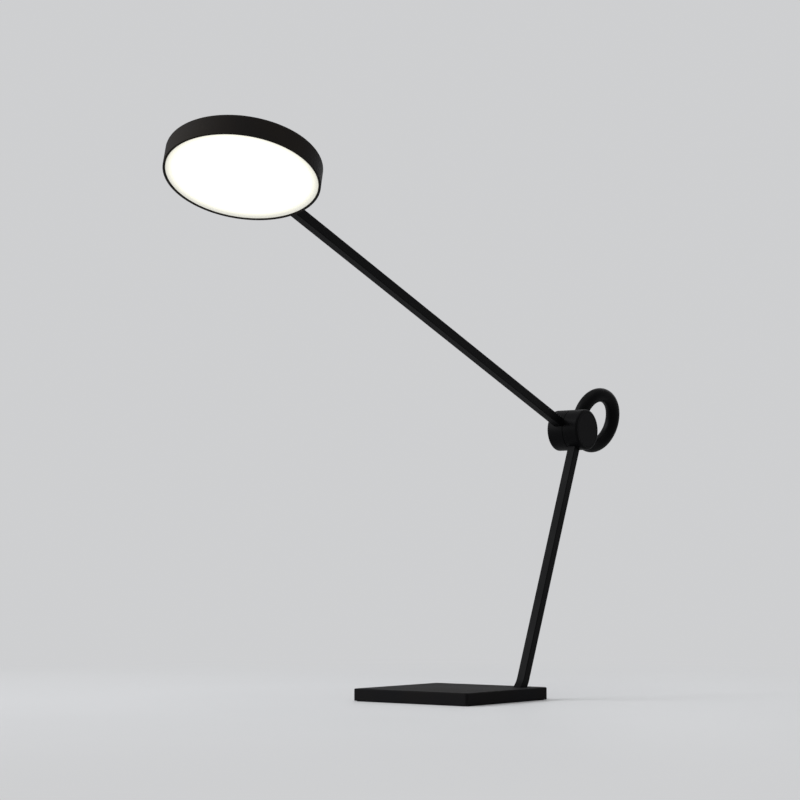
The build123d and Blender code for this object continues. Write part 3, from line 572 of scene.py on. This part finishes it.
class LAMP_OT_arm(bpy.types.Operator):
    """Long square arm from the drum to the head"""

    bl_idname = "lamp.arm"
    bl_label = "Arm"

    def execute(self, context):
        stance, bars, head = context.scene.lamp_stance, context.scene.lamp_bars, context.scene.lamp_head
        axes = arm_axes()
        start = hub_point() + axes @ np.array([-bars.bar_offset, -BAR_SEAT, 0])
        tip = stance.head_distance - head.radius - HEAD_CLEARANCE
        end = hub_point() + axes @ np.array([-bars.bar_offset, -tip, 0])
        path = start + (end - start) * np.linspace(0, 1, 80)[:, None]
        up = np.repeat(axes[:, 2][None], len(path), axis=0)
        section = rounded_square(bars.width / 2, bars.corner)
        piece = bar("arm_bar", section, path, -axes[:, 0], up, BAR_INSET)
        paint = satin_paint("arm_satin_paint", context.scene.lamp_colours.paint)
        dress(piece, paint, "arm", "bar_aluminium", "arm")
        return {"FINISHED"}


class LAMP_OT_drum(bpy.types.Operator):
    """Two halves of the hinge drum with their end caps"""

    bl_idname = "lamp.drum"
    bl_label = "Drum"

    def half(self, name, sign, end, angle):
        """Shell and cap of one half, whose end face lies at the given distance from the seam.

        The shell's profile runs along the cap's recess, its softened mouth, the rounded edge, the side
        and the softened edge at the seam; the cap's along its face, softened edge, side and back.
        """
        drum = bpy.context.scene.lamp_drum
        recess, cap_back = end - 2.4 * MM, end - 2.2 * MM
        bore, mouth = drum.cap_radius + drum.cap_gap, 0.2 * MM
        shell = np.vstack([
            [(0, recess), (drum.cap_radius - 0.4 * MM, recess), (bore, recess)],
            arc((bore + mouth, end - mouth), mouth, 180, 90, 4),
            arc((drum.radius - drum.edge, end - drum.edge), drum.edge, 90, 0, 14),
            arc((drum.radius - SOFT, drum.seam / 2 + SOFT), SOFT, 0, -90, 5),
            [(0, drum.seam / 2)]])
        cap = np.vstack([
            [(0, end), (drum.cap_radius - 2 * MM, end)],
            arc((drum.cap_radius - SOFT, end - SOFT), SOFT, 90, 0, 5),
            [(drum.cap_radius, cap_back), (0, cap_back)]])
        turned = axis_turn(angle)
        axes = (turned[:, 1], sign * turned[:, 2], sign * turned[:, 0])
        return lathe(name, shell, hub_point(), axes), lathe(name + "_cap", cap, hub_point(), axes)

    def execute(self, context):
        drum, colours = context.scene.lamp_drum, context.scene.lamp_colours
        paint = satin_paint("drum_satin_paint", colours.paint)
        shell, cap = self.half("post_drum", 1, drum.post_end, 0.0)
        dress(shell, paint, "stand", "drum_metal", "post_hub")
        dress(cap, paint, "stand", "drum_metal", "post_cap")
        shell, cap = self.half("arm_drum", -1, drum.arm_end, -context.scene.lamp_stance.arm_rise)
        dress(shell, paint, "arm", "drum_metal", "arm_hub")
        dress(cap, paint, "arm", "drum_metal", "arm_cap")
        return {"FINISHED"}


class LAMP_OT_ring(bpy.types.Operator):
    """Thick round ring that balances the arm"""

    bl_idname = "lamp.ring"
    bl_label = "Counterweight ring"

    def execute(self, context):
        drum = context.scene.lamp_drum
        axes = arm_axes()
        reach = drum.radius + drum.ring_radius + drum.ring_tube - drum.ring_sink
        out = np.array([0, math.cos(drum.ring_turn), math.sin(drum.ring_turn)])
        middle = hub_point() + axes @ (np.array([drum.ring_offset, 0, 0]) + reach * out)
        normal = axes @ np.array([math.cos(drum.ring_lean), 0, -math.sin(drum.ring_lean)])
        first = axes[:, 1]
        second = np.cross(normal, first)
        # P(u, v) = middle + (R + r cos v) (cos u A + sin u B) + r sin v N, with R the ring's radius and
        # r its tube's, A and B in the ring's plane and N square to it
        u = np.linspace(0, 2 * np.pi, 180, endpoint=False)[:, None, None]
        v = np.linspace(0, 2 * np.pi, 64, endpoint=False)[None, :, None]
        spoke = np.cos(u) * first + np.sin(u) * second
        from_axis = drum.ring_radius + drum.ring_tube * np.cos(v)
        grid = middle + from_axis * spoke + drum.ring_tube * np.sin(v) * normal
        piece = surface("balance_ring", grid[:, ::-1], closed_rows=True)
        paint = satin_paint("ring_satin_paint", context.scene.lamp_colours.paint)
        dress(piece, paint, "arm", "ring_steel", "counterweight_ring")
        return {"FINISHED"}


class LAMP_OT_head(bpy.types.Operator):
    """Disc light: housing and glowing opal disc"""

    bl_idname = "lamp.head"
    bl_label = "Head"

    def execute(self, context):
        head, colours = context.scene.lamp_head, context.scene.lamp_colours
        axes, middle = head_axes(), head_middle()
        inside, ceiling = head.radius - head.wall, head.back - 2.5 * MM
        lip = 0.4 * MM
        # The housing's profile: back, rounded edge, side wall, lip, inside wall and ceiling
        profile = np.vstack([
            [(0, head.back), (head.radius / 2, head.back)],
            arc((head.radius - head.edge, head.back - head.edge), head.edge, 90, 0, 16),
            arc((head.radius - lip, -head.front + lip), lip, 0, -90, 6),
            arc((inside + lip, -head.front + lip), lip, -90, -180, 6),
            [(inside, ceiling), (0, ceiling)]])
        shell = lathe("head_housing", profile, middle, axes.T, around=256)
        coat = powder_coat("head_powder_coat", colours.head_coat)
        dress(shell, coat, "head", "head_metal", "head_shell")
        # The lit disc's profile: its hidden back and side, softened edge and lit face
        low, edge = -head.front + head.recess, inside - head.gap
        disc = np.vstack([
            [(0, low + head.disc), (edge, low + head.disc)],
            arc((edge - SOFT, low + SOFT), SOFT, 0, -90, 6), [(0, low)]])
        lit = lathe("opal_disc", disc, middle, axes.T, around=200)
        glow_middle = middle + head.glow_shift * (axes @ np.array(GLOW_TOWARDS))
        finish = opal_glow("lit_opal_acrylic", glow_middle, edge, (colours.glow_middle, colours.glow_rim),
                           (head.glow, head.rim_glow))
        dress(lit, finish, "head", "opal_acrylic", "diffuser")
        return {"FINISHED"}


class LAMP_OT_works(bpy.types.Operator):
    """Finish the pieces inside the foot, the drum and the head"""

    bl_idname = "lamp.works"
    bl_label = "Inner works"

    def execute(self, context):
        finish_nodes(["base_cover", "foot_block"], bare_metal("rolled_steel", (0.42, 0.42, 0.43), (1, 14, 1)))
        finish_nodes(["cover_screws", "foot_screws", "board_screws", "post_grub_screw", "arm_grub_screw",
                      "ring_studs", "swivel_screws", "carrier_screws"],
                     bare_metal("zinc_plate", (0.52, 0.53, 0.5), (1, 1, 1), (0.28, 0.42), 500.0))
        finish_nodes(["swivel_pin"],
                     bare_metal("blackened_steel", (0.02, 0.02, 0.022), (18, 1, 1), (0.4, 0.5)))
        finish_nodes(["hinge_axle", "thrust_washer", "axle_nut", "stop_pin"],
                     bare_metal("turned_steel", (0.55, 0.55, 0.56), (18, 1, 1)))
        finish_nodes(["disc_springs", "wave_spring"],
                     bare_metal("blued_spring_steel", (0.12, 0.13, 0.18), (1, 1, 8), (0.25, 0.35)))
        finish_nodes(["board_spacers", "swivel_nut"],
                     bare_metal("turned_brass", (0.72, 0.52, 0.22), (1, 1, 16), (0.18, 0.32)))
        finish_nodes(["swivel_block", "led_carrier"],
                     bare_metal("milled_aluminium", (0.72, 0.72, 0.73), (12, 1, 1), (0.25, 0.42)))
        finish_nodes(["post_wire", "arm_wire", "head_wire", "socket_lead"],
                     moulded("wire_jacket", (0.025, 0.025, 0.028), (0.4, 0.55), 1400.0))
        finish_nodes(["power_socket", "board_components"], moulded("black_moulding", (0.02, 0.02, 0.022)))
        finish_nodes(["hinge_bush", "friction_disc", "swivel_bush"],
                     moulded("bearing_plastic", (0.68, 0.66, 0.58), (0.35, 0.5), 600.0))
        finish_nodes(["driver_board", "led_strip"],
                     printed_board("white_board", (0.78, 0.79, 0.77), (0.75, 0.42, 0.22)))
        finish_nodes(["led_chips"], phosphor("yellow_phosphor"))
        finish_nodes(["light_guide"], clear_guide("dotted_guide"))
        finish_nodes(["reflector"], moulded("white_film", (0.85, 0.85, 0.84), (0.3, 0.4), 800.0))
        return {"FINISHED"}


class LAMP_OT_stage(bpy.types.Operator):
    """Pale floor, soft lamps and the camera"""

    bl_idname = "lamp.stage"
    bl_label = "Studio"

    def area_lamp(self, name, place, size, power, colour):
        """Soft rectangular lamp that looks at the object and stays out of the picture"""
        data = bpy.data.lights.new(name, "AREA")
        data.shape, data.size, data.size_y = "RECTANGLE", *size
        data.energy, data.color = power, colour
        lamp = put_in_scene(name, data)
        lamp.location = place
        lamp.rotation_euler = (Vector(LAMP_AIM) - Vector(place)).to_track_quat("-Z", "Y").to_euler()
        lamp.visible_camera = False

    def floor(self, colour):
        """Flat disc of rings: P(u, v) = r(u) (cos v, sin v, 0).

        It takes shadows near the object and glows in the backdrop's colour further out, so no horizon
        shows.
        """
        radius = np.array([0.5, 1, 2, 5, 12, 30])[:, None]
        angle = np.linspace(0, 2 * np.pi, 96, endpoint=False)[None]
        grid = np.stack([radius * np.cos(angle), radius * np.sin(angle), 0 * radius * angle], axis=-1)
        piece = surface("studio_floor", grid, start=np.zeros(3))
        finish, tree, shader, place = start_finish("pale_floor")
        cloud = grain(tree, place, 3.0, 2.0)
        feed(tree, shader, {"Base Color": shades(tree, cloud, scaled(colour, 1.03), scaled(colour, 1.05)),
                            "Roughness": 0.55, "Specular IOR Level": 0.1})
        far = chain(tree, "ShaderNodeEmission", {"Color": (*colour, 1.0), "Strength": 1.0})
        reach = chain(tree, "ShaderNodeVectorMath", {0: place}, operation="LENGTH").outputs["Value"]
        blend = chain(tree, "ShaderNodeMixShader", {"Fac": between(tree, reach, 0.0, 1.0, *FLOOR_FADE),
                                                    1: shader.outputs["BSDF"], 2: far.outputs[0]})
        output = next(node for node in tree.nodes if node.type == "OUTPUT_MATERIAL")
        feed(tree, output, {"Surface": blend.outputs[0]})
        give(piece, finish)

    def air(self, colour, strength):
        """World that lights softly and shows a pale backdrop to the camera and in reflections."""
        world = bpy.data.worlds.new("pale_air")
        bpy.context.scene.world = world
        world.use_nodes = True
        tree = world.node_tree
        tree.nodes.clear()
        path = chain(tree, "ShaderNodeLightPath").outputs
        light = chain(tree, "ShaderNodeBackground", {"Color": (0.98, 0.99, 1.0, 1.0), "Strength": strength})
        shown = chain(tree, "ShaderNodeBackground", {"Color": (*colour, 1.0), "Strength": 1.0})
        seen = path["Is Camera Ray"]
        for ray in ("Is Transmission Ray", "Is Glossy Ray"):
            seen = chain(tree, "ShaderNodeMath", {0: seen, 1: path[ray]}, operation="MAXIMUM").outputs[0]
        mix = chain(tree, "ShaderNodeMixShader", {"Fac": seen, 1: light.outputs[0], 2: shown.outputs[0]})
        chain(tree, "ShaderNodeOutputWorld", {"Surface": mix.outputs[0]})

    def execute(self, context):
        studio, colours = context.scene.lamp_studio, context.scene.lamp_colours
        camera = put_in_scene("photo_camera", bpy.data.cameras.new("photo_camera"))
        camera.data.lens, camera.data.sensor_width, camera.data.clip_end = studio.lens, 36.0, 100.0
        camera.location = studio.eye
        camera.rotation_euler = Euler((math.pi / 2 + studio.pitch, 0.0, studio.yaw))
        context.scene.camera = camera
        self.floor(tuple(colours.backdrop))
        self.air(tuple(colours.backdrop), studio.air)
        self.area_lamp("key_lamp", (-2.4, -1.9, 1.8), (2.2, 2.4), studio.key, (0.97, 0.98, 1.0))
        self.area_lamp("top_lamp", (0.5, -0.3, 3.0), (2.4, 2.4), studio.top, (1.0, 0.99, 0.97))
        self.area_lamp("rim_lamp", (-0.6, 2.7, 1.5), (1.8, 1.8), studio.rim, (0.98, 0.99, 1.0))
        context.scene.view_settings.view_transform = "Standard"
        return {"FINISHED"}


STEPS = (LAMP_OT_foot, LAMP_OT_post, LAMP_OT_arm, LAMP_OT_drum, LAMP_OT_ring, LAMP_OT_head, LAMP_OT_works,
         LAMP_OT_stage)


class LAMP_PT_panel(bpy.types.Panel):
    """Sizes, colours and steps of the desk lamp"""

    bl_label = "Desk Lamp"
    bl_idname = "LAMP_PT_panel"
    bl_space_type = "VIEW_3D"
    bl_region_type = "UI"
    bl_category = "Desk Lamp"

    def draw(self, context):
        """A box for each group of sizes or colours, then a button for each step"""
        for group, name in zip(GROUPS, GROUP_NAMES):
            box = self.layout.box()
            box.label(text=group.__doc__)
            for field in group.__annotations__:
                box.prop(getattr(context.scene, name), field)
        for step in STEPS:
            self.layout.operator(step.bl_idname)


def register():
    """Makes the groups, the steps and the panel known, and hangs the groups on the scene."""
    for each in (*GROUPS, *STEPS, LAMP_PT_panel):
        bpy.utils.register_class(each)
    for group, name in zip(GROUPS, GROUP_NAMES):
        setattr(bpy.types.Scene, name, bpy.props.PointerProperty(type=group))


def unregister():
    """Takes away all that register added."""
    for name in GROUP_NAMES:
        delattr(bpy.types.Scene, name)
    for each in (LAMP_PT_panel, *reversed(STEPS), *reversed(GROUPS)):
        bpy.utils.unregister_class(each)


def main():
    register()
    for step in STEPS:
        area, action = step.bl_idname.split(".")
        getattr(getattr(bpy.ops, area), action)()


if __name__ == "__main__":
    main()
